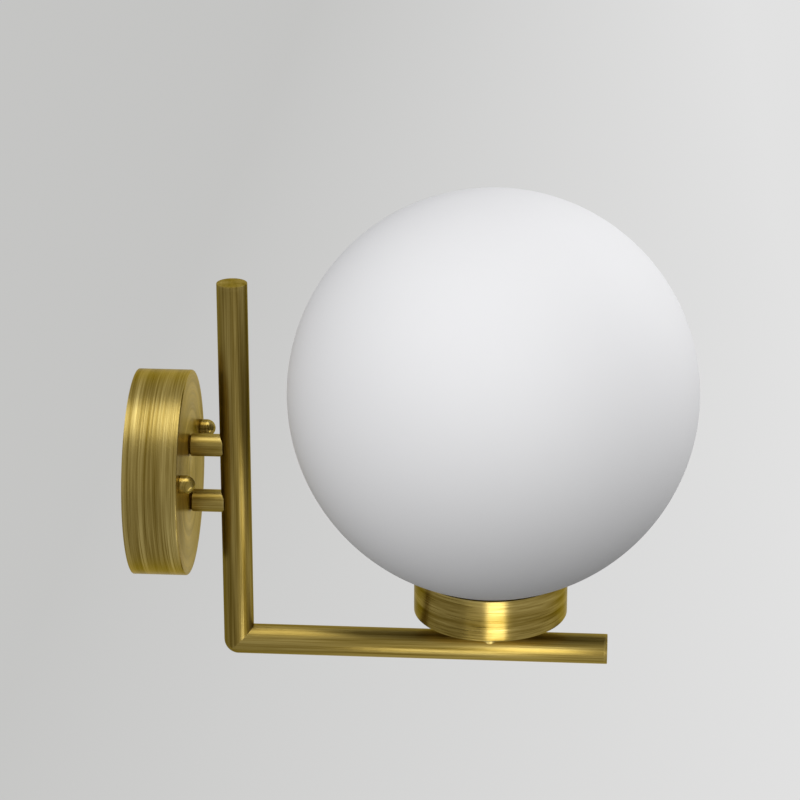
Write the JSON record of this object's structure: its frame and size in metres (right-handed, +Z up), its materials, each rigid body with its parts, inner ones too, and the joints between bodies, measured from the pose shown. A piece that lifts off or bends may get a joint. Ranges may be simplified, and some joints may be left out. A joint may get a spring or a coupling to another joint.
{
  "type": "globe wall sconce",
  "caption": "Wall light with a round white glass globe on a brass cup, held by an L-shaped round-tube arm standing off a round brass wall canopy.",
  "frame": {"origin": "centre of the mounting plate's two wall-screw slots, on the wall plane, which is also the centre of the canopy's back rim", "axes": "+Y into the wall along the wall screws, so the light stands out along -Y; +Z up; +X to the right for someone who faces the wall"},
  "size_m": [0.2, 0.2753, 0.2421],
  "materials": {
    "brushed_brass": "satin brushed, clear lacquer",
    "opal_glass": "white opal, satin gloss",
    "zinc_steel": "zinc plated",
    "spring_steel": "bright spring steel",
    "plain_brass": "bare brass",
    "white_nylon": "moulded",
    "clear_silicone": "soft matte",
    "white_ceramic": "glazed ceramic",
    "black_phenolic": "moulded, semi-gloss",
    "bulb_nickel": "nickel plated",
    "bulb_solder": "bare solder",
    "black_glass": "fused black glass",
    "bulb_white": "satin moulded",
    "light_board": "white coated",
    "brown_wire": "silicone insulation",
    "blue_wire": "silicone insulation",
    "earth_green": "silicone insulation, green with yellow"
  },
  "bodies": {
    "frame": {"canopy": "brushed_brass", "dome_nuts": "brushed_brass", "standoff_upper": "brushed_brass", "standoff_lower": "brushed_brass", "riser_tube": "brushed_brass", "arm_tube": "brushed_brass", "riser_end_cap": "brushed_brass", "arm_end_cap": "brushed_brass", "arm_neck": "brushed_brass", "globe_cup": "brushed_brass", "mounting_plate": "zinc_steel", "canopy_studs": "zinc_steel", "stud_lock_nuts": "zinc_steel", "earth_screw": "zinc_steel", "earth_washer": "zinc_steel", "standoff_nipple_upper": "zinc_steel", "standoff_nipple_lower": "zinc_steel", "standoff_washers": "zinc_steel", "standoff_nuts": "zinc_steel", "stem_nipple": "zinc_steel", "stem_washer": "zinc_steel", "stem_nut": "zinc_steel", "terminal_block_screw": "zinc_steel", "terminal_screws": "zinc_steel", "lampholder_terminal_screws": "zinc_steel", "globe_spring": "spring_steel", "earth_ring_terminal": "plain_brass", "terminal_inserts": "plain_brass", "lampholder_shell": "plain_brass", "lampholder_contact": "plain_brass", "lampholder_terminals": "plain_brass", "terminal_block": "white_nylon", "globe_gasket": "clear_silicone", "lampholder_core": "white_ceramic", "lampholder_cap": "black_phenolic", "lampholder_skirt": "black_phenolic", "live_wire": "brown_wire", "neutral_wire": "blue_wire", "earth_wire": "earth_green"},
    "globe": {"globe": "opal_glass"},
    "bulb": {"bulb_cap": "bulb_nickel", "bulb_tip": "bulb_solder", "bulb_insulator": "black_glass", "bulb_housing": "bulb_white", "bulb_board": "light_board", "bulb_dome": "bulb_white"}
  },
  "joints": [
    {"name": "globe_lift", "type": "slide", "parent": "frame", "child": "globe", "axis": [0, 0, 1], "range_m": [0, 0.145]},
    {"name": "bulb_pull", "type": "slide", "parent": "frame", "child": "bulb", "axis": [0, 0, 1], "range_m": [0, 0.03]}
  ]
}
